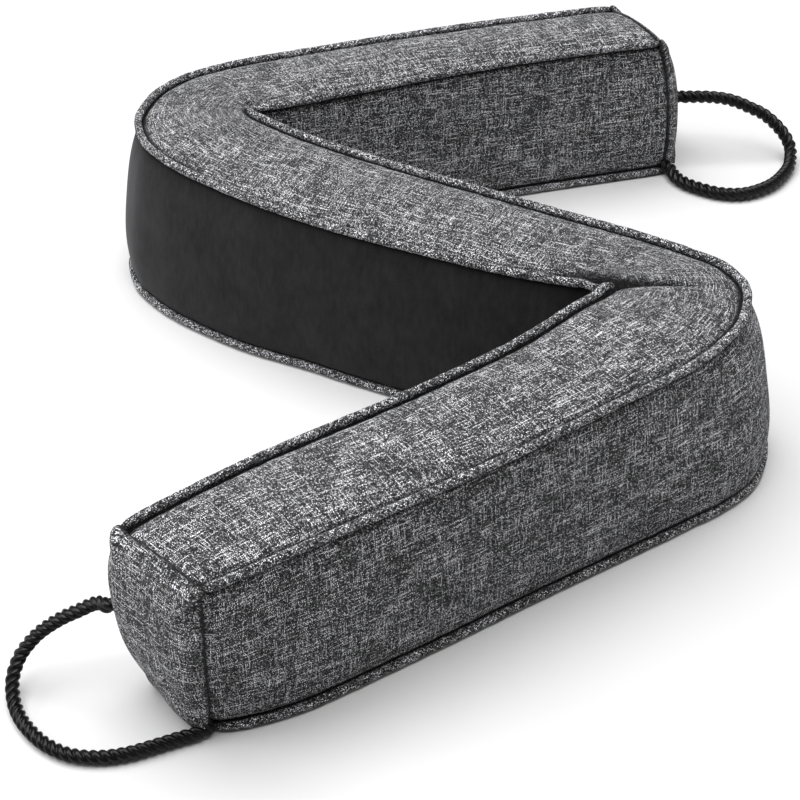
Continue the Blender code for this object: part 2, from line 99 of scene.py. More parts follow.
APART = 7.31  # between two yarns in the noise of their thick places
DASH_APART = 5.37  # and of their light places
SEAM_SHADE = 2.2  # width of the painted shade beside a seam
END_SHADE = 0.6  # and beside a plain seam at an end
TOP_SHADE = 3.2  # and on the top, where the cord stands over the cloth's edge

# The plan, from the front end to the rear one: both top cords, and how far outside them the
# base cords lie
Section = namedtuple("Section", "left_x left_y right_x right_y left_foot right_foot")
SECTIONS = [
    Section(-127.0, -231.0, -91.0, -268.0, -2.0, -12.0),
    Section(-122.5, -225.5, -85.5, -265.0, 0.0, -10.0),
    Section(-81.0, -190.0, -45.0, -238.0, 0.0, -1.0),
    Section(-3.0, -134.0, 34.0, -184.0, 0.0, 0.0),
    Section(44.0, -96.0, 88.0, -143.0, 0.0, 4.0),
    Section(75.0, -64.0, 121.5, -117.0, 0.0, 7.0),
    Section(85.0, -55.6, 137.5, -100.0, 0.0, 12.4),
    Section(88.0, -52.0, 152.0, -77.0, 0.0, 17.4),
    Section(88.3, -50.0, 157.3, -52.5, 0.0, 18.6),
    Section(87.0, -47.6, 150.5, -32.5, 0.0, 13.8),
    Section(84.0, -46.6, 133.5, -17.5, 0.0, 8.0),
    Section(74.0, -46.0, 112.5, -3.5, 0.0, 3.0),
    Section(37.0, -34.0, 68.0, 22.0, 0.0, 0.0),
    Section(8.0, -21.0, 37.0, 40.0, 2.0, 0.0),
    Section(-52.0, 9.0, -23.0, 75.0, 2.0, 0.0),
    Section(-99.0, 40.0, -68.0, 105.0, 8.0, 0.0),
    Section(-140.0, 76.0, -94.0, 127.5, 10.6, 0.0),
    Section(-155.0, 99.0, -97.3, 131.0, 11.2, 0.0),
    Section(-160.5, 124.0, -97.7, 133.2, 10.8, 0.0),
    Section(-156.0, 148.0, -96.4, 135.3, 8.5, 0.0),
    Section(-142.0, 171.0, -93.0, 136.8, 6.0, 0.0),
    Section(-116.0, 189.5, -79.0, 141.0, 3.0, 0.0),
    Section(-55.0, 214.0, -31.0, 161.0, 0.0, -2.0),
    Section(30.0, 244.0, 52.0, 194.0, 0.0, -3.0),
    Section(99.0, 264.0, 121.0, 214.5, 0.0, -2.5),
    Section(115.5, 268.0, 140.5, 219.0, 0.0, -2.0),
    Section(120.5, 268.5, 145.5, 220.0, 0.0, -2.0),
]

# Where the filling pushes a side out at a bend
Bulge = namedtuple("Bulge", "row side push rows")
BULGES = [Bulge(7.6, 1, 3.4, 2.6), Bulge(18.0, -1, 2.4, 2.4)]

# The two ends. dome is its depth, low_left and low_right its share at the foot, full the
# height where it is whole, and shoulder how far it is drawn in under its top seam. foot, skew,
# rise, power and reach say how an end leans outwards at its foot, and heel how much further
# out the right half of its base lies.
End = namedtuple("End", "dome low_left low_right full shoulder foot skew rise power reach heel")
FRONT_END = End(9.0, 0.25, 0.8, 45.0, 0.0, 6.2, 2.2, 1.0, 2.0, 55.0, 2.4)
REAR_END = End(13.5, 1.0, 1.0, 45.0, 0.75, 13.0, 0.0, 2.5, 1.0, 55.0, 0.0)
SHOULDER_REACH = 11.0  # how far below its top seam an end is drawn in by its shoulder

# Where the top cloth is nipped at an inner corner: the row, the side that the crease starts
# from (-1 left, 1 right), its depth and length, the width of the bank that goes down into it,
# and which way that bank lies (1 towards the rear end).
Crease = namedtuple("Crease", "row side groove width length way")
CREASES = [Crease(7.75, -1, 8.0, 6.8, 44.0, 1), Crease(20, 1, 2.6, 3.0, 15.0, -1)]
LIP = 0.7  # how sharply the cloth in front turns down into a groove
FALL, FALL_REACH = 2.1, 3.5  # how far the cloth beside a groove falls towards it
SWELL, SWELL_PLACE, SWELL_REACH = 1.3, 9.0, 4.5  # and rises again beyond its bank
DEEPEST = 8.0  # the groove whose painted shade is full

# Where the loop side's top cord rides over itself at the right inner corner: for each part of
# the curl its height, its place along the cord from the corner, and its reach
Curl = namedtuple("Curl", "height place reach")
CURLS = [Curl(2.4, -2.5, 4.5), Curl(-3.0, 6.0, 4.5)]
ASIDE = Curl(2.2, 0.0, 2.5)  # and how far it goes aside there
CORD_FOLD_SHADE = Curl(1.0, 4.5, 2.6)  # and how strongly, where and how far painted shade darkens it in the fold

# Places across half of a panel, as distances from its seam
TOP_PLACES = [0.0, 0.4, 0.9, 1.5, 2.2, 3.2, 4.6, 6.4, 8.6, 11.0, 13.5, 16.0, 18.5, 21.0, 23.5, 26.0, 29.0]
SIDE_PLACES = [0.0, 0.5, 1.1, 1.8, 2.8, 4.2, 6.5, 9.5, 13.0, 17.0, 21.5, 26.0, 31.0, 36.0, 40.0, 43.4]

# How the filling turns in under its base cords: how far inside, and how high
BASE_TURN = [(2.6, 2.4), (3.4, 1.0), (4.4, 0.25), (5.6, 0.0)]
END_INSIDE = 1.0  # how far the filling's ends stay inside the end panels
END_LIFT = 1.2  # and how far they are off the floor
GIRTH = 320.0  # once round the filling

# Angles of an end panel's outline round a top cord and round a base cord, in degrees
HIGH_ARC = [95.0, 70.0, 45.0, 20.0, -5.0]
LOW_ARC = [10.0, -20.0, -50.0, -80.0]

# The rings of an end panel, as shares of its outline: the edge that is rolled in, each with
# how far it stands out from the seam, and then the dome
EDGE_RINGS = [(0.97, -0.7), (0.988, -0.2), (0.997, 0.5)]
DOME_RINGS = [0.998, 0.99, 0.975, 0.95, 0.91, 0.85, 0.77, 0.67, 0.56, 0.44, 0.31, 0.18, 0.07]
DOME_STAND = 1.3

# The two handles. tucks are the last steps of each rope into its seams.
FRONT_ROPE, REAR_ROPE = 6.6, 8.2
STRAND = 0.595  # a strand's radius as a share of its rope's
ROPE_STEP = 0.7  # between rings along a rope
STRAND_SIDES = 12  # round a strand
TUCK_STEPS = 10  # in a rope's last step into its seam
LIE = 0.2  # space under a rope that lies on the floor
FRONT_LIES, REAR_LIES = FRONT_ROPE / 2 + LIE, REAR_ROPE / 2 + LIE
Handle = namedtuple("Handle", "diameter lay route tucks")
FRONT_HANDLE = Handle(FRONT_ROPE, 12.0, [
    (-137.3, -229.3, 50.0), (-140.3, -225.5, 48.4), (-144.5, -223.0, 45.6),
    (-151.0, -222.0, 41.0), (-160.0, -221.0, 35.0), (-169.5, -220.5, 27.0),
    (-175.5, -221.5, 20.5), (-180.0, -224.0, 14.5), (-182.5, -230.0, 8.5),
    (-181.5, -238.5, 4.8), (-178.0, -247.5, FRONT_LIES), (-172.0, -256.5, FRONT_LIES),
    (-163.5, -265.0, FRONT_LIES), (-152.5, -271.0, FRONT_LIES), (-140.0, -272.5, FRONT_LIES),
    (-128.0, -270.5, FRONT_LIES), (-116.5, -266.0, FRONT_LIES), (-106.0, -261.5, FRONT_LIES),
    (-100.8, -259.8, FRONT_LIES),
], [(7.6, 3.4, 0.0), (7.0, 4.2, 0.4)])
REAR_HANDLE = Handle(REAR_ROPE, 15.5, [
    (139.9, 280.7, 40.0), (147.6, 277.6, 40.0), (155.0, 271.2, 39.8),
    (160.8, 263.5, 39.5), (166.5, 258.2, 39.5), (174.5, 256.6, 40.0),
    (182.8, 256.6, 40.0), (190.6, 256.9, 39.3), (198.5, 257.3, 37.8),
    (206.4, 257.0, 35.3), (213.1, 256.4, 32.3), (220.6, 256.2, 28.8),
    (226.7, 254.9, 24.8), (232.4, 253.0, 19.9), (237.1, 250.0, 14.8),
    (239.8, 245.2, 10.0), (239.5, 238.5, 6.8), (237.0, 228.8, 4.9),
    (231.3, 218.4, REAR_LIES), (223.5, 207.8, REAR_LIES), (214.0, 200.2, REAR_LIES),
    (204.5, 195.6, REAR_LIES), (195.0, 194.6, REAR_LIES), (186.0, 196.6, REAR_LIES),
    (177.7, 201.0, REAR_LIES), (169.8, 206.7, REAR_LIES), (164.3, 213.5, REAR_LIES),
    (161.7, 219.8, 4.5), (160.8, 223.6, 5.2),
], [(-8.0, -4.5, 0.0), (-4.2, 5.2, 1.4)])

# The photograph's camera: in metres, radians down from level, and millimetres of lens
CAMERA_PLACE = (-0.01235, -0.8037, 0.5887)
CAMERA_PITCH = 0.64132
CAMERA_LENS = 82.57


# Materials

class Wire:
    """A socket of a material, so that shader maths reads as a sum."""

    def __init__(self, finish, socket):
        self.finish, self.socket = finish, socket

    def maths(self, operation, *others):
        return self.finish.node("ShaderNodeMath", {"operation": operation}, [self, *others])[0]

    def __add__(self, other):
        return self.maths("ADD", other)

    def __sub__(self, other):
        return self.maths("SUBTRACT", other)

    def __rsub__(self, other):
        return self.finish.node("ShaderNodeMath", {"operation": "SUBTRACT"}, [other, self])[0]

    def __mul__(self, other):
        return self.maths("MULTIPLY", other)

    def __truediv__(self, other):
        return self.maths("DIVIDE", other)

    __radd__, __rmul__ = __add__, __mul__


class Finish:
    """A material and its nodes."""

    def __init__(self, name, **settings):
        self.material = bpy.data.materials.new(name)
        self.material.use_nodes = True
        self.tree = self.material.node_tree
        self.shader = self.tree.nodes["Principled BSDF"]
        for socket, value in settings.items():
            self.shader.inputs[socket.replace("_", " ")].default_value = value

    def node(self, kind, settings=None, inputs=()):
        made = self.tree.nodes.new(kind)
        for key, value in (settings or {}).items():
            if key == "stops":
                self.set_stops(made.color_ramp, value)
            else:
                setattr(made, key, value)
        for key, value in inputs.items() if isinstance(inputs, dict) else enumerate(inputs):
            if isinstance(value, Wire):
                self.tree.links.new(value.socket, made.inputs[key])
            else:
                made.inputs[key].default_value = value
        return [Wire(self, socket) for socket in made.outputs]

    def set_stops(self, ramp, stops):
        while len(ramp.elements) < len(stops):
            ramp.elements.new(0.5)
        for element, (place, shade) in zip(ramp.elements, stops):
            element.position, element.color = place, shade

    def vector(self, x, y, z):
        return self.node("ShaderNodeCombineXYZ", None, [x, y, z])[0]

    def noise(self, vector, detail, scale=1.0):
        inputs = {"Vector": vector, "Scale": scale, "Detail": detail}
        return self.node("ShaderNodeTexNoise", None, inputs)[0]

    def shades(self, value, stops):
        """A colour from a value, by the colours at a few stops."""
        return self.node("ShaderNodeValToRGB", {"stops": stops}, [value])[0]

    def vectors(self, operation, first, second):
        return self.node("ShaderNodeVectorMath", {"operation": operation}, [first, second])[0]

    def scaled(self, vector, factor):
        return self.node("ShaderNodeVectorMath", {"operation": "SCALE"}, {0: vector, "Scale": factor})[0]

    def cloth_places(self, turn=0.0):
        """How far along and across its own cloth a point is, in metres."""
        place = self.node("ShaderNodeUVMap", {"uv_map": "cloth"})[0]
        if turn:
            place = self.node("ShaderNodeMapping", None, {"Vector": place, "Rotation": (0, 0, turn)})[0]
        return place

    def painted_shade_factor(self):
        """1 on open cloth, and nearly 0 where painted shade darkens a seam or a fold."""
        depth = self.node("ShaderNodeAttribute", {"attribute_name": "seam_depth"})[2]
        return 1.0 - depth * 0.94

    def join(self, colour=None, roughness=None, height=None, depth=0.0002, strength=1.0):
        if colour:
            self.tree.links.new(colour.socket, self.shader.inputs["Base Color"])
        if roughness:
            self.tree.links.new(roughness.socket, self.shader.inputs["Roughness"])
        if height:
            inputs = {"Height": height, "Distance": depth, "Strength": strength}
            normal = self.node("ShaderNodeBump", None, inputs)[0]
            self.tree.links.new(normal.socket, self.shader.inputs["Normal"])
        return self.material


def grey_shade(value, lightness):
    return (value * lightness, value * lightness, value * lightness * 1.04, 1.0)


def heather_weave(name, turn=0.0, lightness=1.06, slubs=1.3):
    """Plain weave of charcoal yarn with near-white slubs in both directions."""
    cloth = Finish(name, Roughness=0.9, Sheen_Weight=0.03, Sheen_Roughness=0.45, Specular_IOR_Level=0.25)
    place = cloth.cloth_places(turn)
    # The yarns drift a little from straight
    drift = cloth.node("ShaderNodeTexNoise", None, {"Vector": place, "Scale": 95.0, "Detail": 1.0})[1]
    drift = cloth.vectors("SUBTRACT", drift, (0.5, 0.5, 0.5))
    place = cloth.vectors("ADD", place, cloth.scaled(drift, 0.0016))
    along, across, _ = cloth.node("ShaderNodeSeparateXYZ", None, [place])
    weft, warp = along / YARN, across / YARN
    weft_number, warp_number = weft.maths("FLOOR"), warp.maths("FLOOR")
    # 1 where a warp yarn lies over the weft, and 0 where it lies under
    over = ((weft_number + warp_number) * 0.5).maths("FRACT") * 2.0
    # Each yarn has its own thick and light places, and each crossing its own fleck
    warp_yarn = cloth.noise(cloth.vector(along / SLUB, warp_number * APART, 3.0), 1.0)
    weft_yarn = cloth.noise(cloth.vector(weft_number * APART, across / SLUB, 8.0), 1.0)
    yarn = warp_yarn * over + weft_yarn * (1.0 - over)
    warp_dash = cloth.noise(cloth.vector(along / DASH, warp_number * DASH_APART, 13.0), 0.0)
    weft_dash = cloth.noise(cloth.vector(weft_number * DASH_APART, across / DASH, 18.0), 0.0)
    dash = warp_dash * over + weft_dash * (1.0 - over)
    fleck = cloth.node("ShaderNodeTexWhiteNoise", {"noise_dimensions": "3D"},
                       {"Vector": cloth.vector(weft_number, warp_number, 1.0)})[0]
    fibre = cloth.noise(cloth.vector(along * 5200.0, across * 5200.0, 2.0), 1.0)
    mottle = cloth.noise(cloth.vector(along * 45.0, across * 45.0, 5.0), 1.0)
    slub = (yarn - 0.55).maths("MAXIMUM", 0.0)
    # The weights bring their sum to between 0 and 1, from dark yarn to white
    shade = yarn * 0.95 + slub * slubs + dash * 0.62 + fleck * 0.55 + fibre * 0.25 + mottle * 0.15 - 0.795
    stops = [(0.27, 0.003), (0.47, 0.024), (0.64, 0.15), (0.89, 0.95)]
    colour = cloth.shades(shade, [(place, grey_shade(value, lightness)) for place, value in stops])
    # Round yarns, with painted shade in the gaps between them and the warp a little lighter
    warp_round = (warp.maths("FRACT") * math.pi).maths("SINE")
    weft_round = (weft.maths("FRACT") * math.pi).maths("SINE")
    height = warp_round * over * (0.5 + 0.5 * weft_round)
    height = height + weft_round * (1.0 - over) * (0.5 + 0.5 * warp_round)
    # Painted shade between the yarns and in seams and folds darkens the colour
    light = (0.3 + 1.05 * height) * (0.84 + 0.32 * over) * cloth.painted_shade_factor()
    height = height + fibre * 0.3
    return cloth.join(cloth.scaled(colour, light), height=height, depth=0.0003, strength=0.8)


def loop_pile(name):
    """Black brushed loop cloth with a soft, slightly uneven nap."""
    cloth = Finish(name, Roughness=0.92, Sheen_Weight=0.25, Sheen_Roughness=0.4,
                   Sheen_Tint=(0.45, 0.45, 0.47, 1.0), Specular_IOR_Level=0.2)
    place = cloth.cloth_places()
    along, across, _ = cloth.node("ShaderNodeSeparateXYZ", None, [place])
    loops = cloth.noise(cloth.vector(along * 1500.0, across * 1100.0, 1.0), 2.0)
    brushed = cloth.noise(cloth.vector(along * 330.0, across * 120.0, 4.0), 2.0)
    nap = cloth.noise(cloth.vector(along * 75.0, across * 50.0, 7.0), 3.0)
    shade = loops * 0.3 + brushed * 0.35 + nap * 0.35
    stops = [(0.36, (0.0042, 0.0043, 0.0046, 1.0)), (0.64, (0.0145, 0.0147, 0.0156, 1.0))]
    # Painted shade of seams and folds darkens the nap's colour
    colour = cloth.scaled(cloth.shades(shade, stops), cloth.painted_shade_factor())
    return cloth.join(colour, height=loops + brushed * 0.6, depth=0.0003, strength=0.5)


def satin_yarn(name):
    """Black satin yarn, with the fine filaments that run along each strand."""
    yarn = Finish(name, Roughness=0.34, Specular_IOR_Level=0.2)
    place = yarn.cloth_places()
    along, around, _ = yarn.node("ShaderNodeSeparateXYZ", None, [place])
    filament = ((around * 210.0 + along * 900.0) * math.pi).maths("SINE")
    grain = yarn.noise(yarn.vector(along * 260.0, around * 90.0, 3.0), 2.0)
    stops = [(0.25, (0.0012, 0.0012, 0.0013, 1.0)), (0.75, (0.0034, 0.0034, 0.0036, 1.0))]
    colour = yarn.shades(grain, stops)
    roughness = 0.24 + grain * 0.18
    return yarn.join(colour, roughness, filament * 0.5 + grain, depth=0.0001, strength=0.5)


def pale_floor(name):
    floor = Finish(name, Roughness=0.7)
    grain = floor.noise(floor.node("ShaderNodeTexCoord")[3], 3.0, scale=6.0)
    stops = [(0.3, (0.54, 0.54, 0.54, 1.0)), (0.7, (0.56, 0.56, 0.56, 1.0))]
    return floor.join(floor.shades(grain, stops))


# The plan of the folded cushion

def read_column(values, at):
    """Reads a column at fractional rows: smooth, and never past its neighbouring values."""
    values = np.array(values, float)
    step = np.diff(values)
    before, after = step[:-1], step[1:]
    slope = np.zeros(len(values))
    same = before * after > 0
    slope[1:-1][same] = 2 * (before * after)[same] / (before + after)[same]
    slope[0], slope[-1] = step[0], step[-1]
    row = np.minimum(at.astype(int), len(values) - 2)
    u = at - row
    rise = step[row]
    start, end = slope[row], slope[row + 1]
    square, cube = 3 * rise - 2 * start - end, start + end - 2 * rise
    return values[row] + u * start + u**2 * square + u**3 * cube


def unit(vectors):
    return vectors / np.linalg.norm(vectors, axis=-1, keepdims=True)


def length_to(points):
    steps = np.linalg.norm(np.diff(points, axis=0), axis=1)
    return np.concatenate([[0.0], np.cumsum(steps)])


def left_of(line):
    """The direction square to a plan line, to the left of travel along it."""
    travel = unit(np.gradient(line, axis=0))
    return np.stack([-travel[:, 1], travel[:, 0]], axis=1)


def hump(shares, power):
    """1 in the middle of a panel and 0 at both of its seams."""
    return 1.0 - np.abs(2.0 * np.asarray(shares) - 1.0) ** power


def bell(distance, reach):
    """1 at a place, and less on both sides of it."""
    return np.exp(-((distance / reach) ** 2))


def fading(distance, reach):
    """1 at a seam, and less away from it."""
    return np.exp(-distance / reach)


def puckers(run, strength):
    """Small gathers beside a seam, at uneven steps along it."""
    beat = np.sin(run / 1.9) + 0.7 * np.sin(run / 3.1 + 1.7) + 0.5 * np.sin(run / 5.3 + 0.4)
    return strength * beat


def both_halves(places):
    """Shares across a whole panel from the distances across half of it."""
    half = np.array(places) / places[-1] / 2
    return np.concatenate([half, 1.0 - half[-2::-1]])


class FoldedCushion:
    """The outside of each cloth at every station of the folded cushion."""

    def __init__(self):
        rows = []
        for i, (a, b) in enumerate(zip(SECTIONS, SECTIONS[1:])):
            run = max(math.dist(a[0:2], b[0:2]), math.dist(a[2:4], b[2:4]))
            creased = any(abs(i + 0.5 - crease.row) < 1.0 for crease in CREASES)
            count = math.ceil(run / (CREASE_STEP if creased else ALONG_STEP))
            rows.append(i + np.arange(count) / count)
        self.row = np.concatenate(rows + [[len(SECTIONS) - 1.0]])
        columns = [read_column(column, self.row) for column in zip(*SECTIONS)]
        self.left = np.stack(columns[0:2], axis=1) - TABLE_MIDDLE
        self.right = np.stack(columns[2:4], axis=1) - TABLE_MIDDLE
        self.left_foot, self.right_foot = columns[4], columns[5]
        self.out = unit(self.right - self.left)
        self.ahead = np.stack([-self.out[:, 1], self.out[:, 0]], axis=1)
        self.left_out, self.right_out = left_of(self.left), -left_of(self.right)
        self.middle = (self.left + self.right) / 2
        self.width = np.linalg.norm(self.right - self.left, axis=1)
        self.from_front = length_to(self.middle)
        self.from_rear = self.from_front[-1] - self.from_front
        self.left_run, self.right_run = length_to(self.left), length_to(self.right)
        steps = np.maximum(np.diff(self.left_run), np.diff(self.right_run))
        self.cloth_run = np.concatenate([[0.0], np.cumsum(steps)])
        self.count = len(self.row)

    def lean(self, plan, height):
        """Moves points of the plan as the ends lean outwards at their feet."""
        level = np.clip(np.asarray(height) / CORD_HEIGHT, 0.0, 1.0)
        across = np.clip(((plan - self.middle) * self.out).sum(axis=1) / self.width * 2, -1.0, 1.0)
        shift = 0.0
        for end, distance in ((FRONT_END, self.from_front), (REAR_END, self.from_rear)):
            near = np.clip(1.0 - distance / end.reach, 0.0, 1.0) ** 2
            foot = end.foot - end.skew * across
            shift = shift + foot * near * (1.0 - level**end.rise) ** end.power
        return plan + self.ahead * shift[:, None]

    def joined(self, plan, height):
        """Points from their plan and their height."""
        height = np.broadcast_to(height, self.row.shape)
        return np.column_stack([self.lean(plan, height), height])

    def end_roll(self):
        """How far a long panel rolls in where it meets the end panels."""
        front = FRONT_ROLL * fading(self.from_front, END_ROLL_REACH)
        return front + REAR_ROLL * fading(self.from_rear, END_ROLL_REACH)

    def edge(self, side):
        return self.left if side < 0 else self.right

    def outward(self, side):
        return self.left_out if side < 0 else self.right_out

    def station_at(self, row):
        return int(np.argmin(np.abs(self.row - row)))

    def past_corner(self):
        """How far past the right inner corner each station of the loop side is."""
        return self.left_run - self.left_run[self.station_at(CREASES[0].row)]

    def top_cord(self, side):
        """A top cord. On the loop side it rides up over itself at the right inner corner."""
        line = self.edge(side)
        height = np.full(self.count, CORD_HEIGHT)
        if side < 0:
            past = self.past_corner()
            for curl in CURLS:
                height += curl.height * bell(past - curl.place, curl.reach)
            aside = self.out[self.station_at(CREASES[0].row)] * ASIDE.height
            line = line + aside * bell(past - ASIDE.place, ASIDE.reach)[:, None]
        return self.joined(line, height)

    def painted_fold_shade(self, side):
        """Painted shade on a top cord where it runs into the fold of the right inner corner, from 0 to 1.
        """
        return (side < 0) * CORD_FOLD_SHADE.height * bell(self.past_corner() - CORD_FOLD_SHADE.place, CORD_FOLD_SHADE.reach)

    def foot(self, side):
        """The plan of a base cord."""
        spread = self.left_foot if side < 0 else self.right_foot
        return self.edge(side) + self.outward(side) * spread[:, None]

    def base_cord(self, side):
        return self.joined(self.foot(side), BASE_CORD_HEIGHT)

    def nip(self, plan):
        """How far the creases at the inner corners pull down the top cloth, and the painted shade in
        them.
        """
        change, shade = np.zeros(len(plan)), np.zeros(len(plan))
        for crease in CREASES:
            station = self.station_at(crease.row)
            start = self.edge(crease.side)[station]
            reach = self.edge(-crease.side)[station] - start
            direction = reach / np.linalg.norm(reach)
            ahead = self.ahead[station] * crease.way
            along = (plan - start) @ direction
            beside = (plan - start) @ ahead
            near_row = np.abs(self.row - crease.row) < 4.0
            left = np.clip(1.0 - along / crease.length, 0.0, 1.0)
            lip = bell(np.maximum(-beside, 0.0), LIP)
            width = crease.width * (0.22 + 0.78 * left**1.3)
            cleft = left**0.5 * bell(np.maximum(beside, 0.0), width)
            fall = FALL * left * fading(np.abs(beside), FALL_REACH)
            swell = SWELL * left * bell(beside - SWELL_PLACE, SWELL_REACH)
            change += near_row * (swell - fall - crease.groove * cleft * lip)
            # Painted shade down the groove's far bank, full at the deepest groove
            shade += near_row * lip * np.clip(5.5 * cleft - 0.3, 0.0, 1.0) * crease.groove / DEEPEST
        return change, shade

    def top_plan(self, share):
        start = self.left - self.left_out * SEAT
        end = self.right - self.right_out * SEAT
        return start + (end - start) * share

    def top_crease_painted_shade(self):
        """The painted shade in the creases at each place of the top cloth, from 0 to 1."""
        return np.stack([self.nip(self.top_plan(share))[1] for share in both_halves(TOP_PLACES)], axis=1)

    def top(self, depth=0.0, rolled=True):
        """The top cloth, or what lies depth below it. rolled gives it its seams and dents."""
        level = np.minimum(1.0, FRONT_CROWN + self.from_front / CROWN_REACH)
        level = level * np.minimum(1.0, REAR_CROWN + self.from_rear / CROWN_REACH)
        wave = sum(high * np.sin(self.from_front / length + start) for high, length, start in WAVES)
        shares = both_halves(TOP_PLACES)
        rows = []
        for share, rise in zip(shares, hump(shares, TOP_FLATNESS)):
            plan = self.top_plan(share)
            height = CORD_HEIGHT - TUCK + (CROWN + wave) * level * rise + self.nip(plan)[0]
            if rolled:
                from_left, from_right = share * self.width, (1.0 - share) * self.width
                rolls = fading(from_left, ROLL_REACH) + fading(from_right, ROLL_REACH)
                height = height - SEAM_ROLL * rolls - self.end_roll()
                gathers = puckers(self.left_run, TOP_PUCKER)
                height = height + gathers * fading(from_left, PUCKER_REACH)
                gathers = puckers(self.right_run + 40.0, TOP_PUCKER)
                height = height + gathers * fading(from_right, PUCKER_REACH)
                dent = np.sin(self.from_front / 14.0 + share * 5.0)
                dent = dent * np.sin(self.from_front / 37.0 - share * 3.0)
                height = height + TOP_DENT * rise * dent
            rows.append(self.joined(plan, height - depth))
        return np.stack(rows, axis=1)

    def side(self, side, depth=0.0, rolled=True):
        """A side cloth, in the same way."""
        edge, out, foot = self.edge(side), self.outward(side), self.foot(side)
        run = self.left_run if side < 0 else self.right_run
        spread = np.clip(np.gradient(run) / np.maximum(np.gradient(self.cloth_run), 1e-6), 0.15, 1.0)
        belly = BELLY * spread
        if side < 0:
            belly = belly + END_BELLY * np.clip(1.0 - self.from_front / END_BELLY_REACH, 0.0, 1.0)
        pushed = np.zeros(self.count)
        for bulge in BULGES:
            if bulge.side == side:
                near = bell(self.row - bulge.row, bulge.rows)
                belly, pushed = belly + bulge.push * near, pushed + near
        roll = SIDE_ROLL * (1.0 - 0.95 * pushed)
        high, low = CORD_HEIGHT - SEAT, BASE_CORD_HEIGHT + SEAT
        shares = both_halves(SIDE_PLACES)
        rows = []
        for share, rise in zip(shares, hump(shares, SIDE_FLATNESS)):
            stand = belly * rise - TUCK - depth
            if rolled:
                from_top, from_foot = share * (high - low), (1.0 - share) * (high - low)
                rolls = fading(from_top, ROLL_REACH) + fading(from_foot, ROLL_REACH)
                stand = stand - roll * rolls - self.end_roll()
                stand = stand + puckers(run + 13.0, SIDE_PUCKER) * fading(from_top, PUCKER_REACH)
                stand = stand + puckers(run + 71.0, SIDE_PUCKER) * fading(from_foot, PUCKER_REACH)
                dent = np.sin(run / 17.0 + share * 2.0) * np.sin(run / 41.0 + share * 4.0)
                stand = stand + SIDE_DENT * rise * spread * dent
            plan = edge + (foot - edge) * share + out * stand[:, None]
            rows.append(self.joined(plan, high + (low - high) * share))
        return np.stack(rows, axis=1)

    def base(self, station):
        """The flat underside from the left foot to the right one."""
        start, end = self.base_cord(-1)[station], self.base_cord(1)[station]
        across = unit(end - start)
        near = []
        for inside, height in BASE_TURN:
            near.append(start + across * inside)
            near[-1][2] = height
        far = [start + end - point for point in near[::-1]]
        for point, like in zip(far, near[::-1]):
            point[2] = like[2]
        flat = [near[-1] + (far[0] - near[-1]) * share for share in (0.2, 0.4, 0.6, 0.8)]
        return np.array(near + flat + far)

    def corner(self, cord, side, station, angles):
        """Points round the end of a cord, from above it towards the outside."""
        radius = PIPING / 2 + 0.1
        out = np.append(self.out[station] * side, 0.0)
        points = []
        for angle in np.radians(angles):
            points.append(cord[station] + radius * (out * math.cos(angle) + UP * math.sin(angle)))
        return np.array(points)

    def end_outline(self, station):
        """The outline of an end panel, once round from the top left corner."""
        top = self.top(rolled=False)[station][2:-2]
        right = self.side(1, rolled=False)[station][3:-3]
        left = self.side(-1, rolled=False)[station][3:-3]
        base = self.base(station)[3:-3][::-1]
        base[:, 2] = GAP
        end, sign = (FRONT_END, -1.0) if station == 0 else (REAR_END, 1.0)
        heel = np.append(self.ahead[station], 0.0) * sign * end.heel
        base += heel * np.clip(2.0 - 2.0 * np.linspace(0.0, 1.0, len(base)), 0.0, 1.0)[:, None]
        right += heel * 0.5 * np.clip(1.0 - right[:, 2:] / 14.0, 0.0, 1.0)
        high = [self.corner(self.top_cord(side), side, station, HIGH_ARC) for side in (-1, 1)]
        low = [self.corner(self.base_cord(side), side, station, LOW_ARC) for side in (-1, 1)]
        top_half = [high[0][::-1], top, high[1], right]
        return np.concatenate(top_half + [low[1], base, low[0][::-1], left[::-1]])


# Making meshes

def new_piece(name, points, faces, uv, finish, shade=None):
    """A mesh piece from points in millimetres, with a cloth map in metres for each corner.

    shade is the painted shade of each point in a seam or a fold, from 0 to 1.
    """
    mesh = bpy.data.meshes.new(name)
    mesh.from_pydata([tuple(p) for p in np.asarray(points) * MM], [], faces)
    layer = mesh.uv_layers.new(name="cloth")
    layer.data.foreach_set("uv", np.asarray(uv, np.float32).ravel())
    if shade is not None:
        # The painted shade of seams and folds, which the materials multiply into their colour
        depth = mesh.attributes.new("seam_depth", "FLOAT", "POINT")
        depth.data.foreach_set("value", np.clip(shade, 0.0, 1.0).astype(np.float32).ravel())
    mesh.materials.append(finish)
    piece = bpy.data.objects.new(name, mesh)
    bpy.context.scene.collection.objects.link(piece)
    return piece


def pick(piece):
    bpy.ops.object.select_all(action="DESELECT")
    piece.select_set(True)
    bpy.context.view_layer.objects.active = piece


def grid_piece(name, points, along, across, finish, shade, turn):
    """A cloth from stations by places, with how far along and across the cloth each one is."""
    stations, places = points.shape[:2]
    faces, uv = [], []
    for i in range(stations - 1):
        for j in range(places - 1):
            corners = [(i, j), (i, j + 1), (i + 1, j + 1), (i + 1, j)]
            if turn:
                corners.reverse()
            faces.append([a * places + b for a, b in corners])
            uv += [(along[a, b] * MM, across[a, b] * MM) for a, b in corners]
    return new_piece(name, points.reshape(-1, 3), faces, uv, finish, shade)


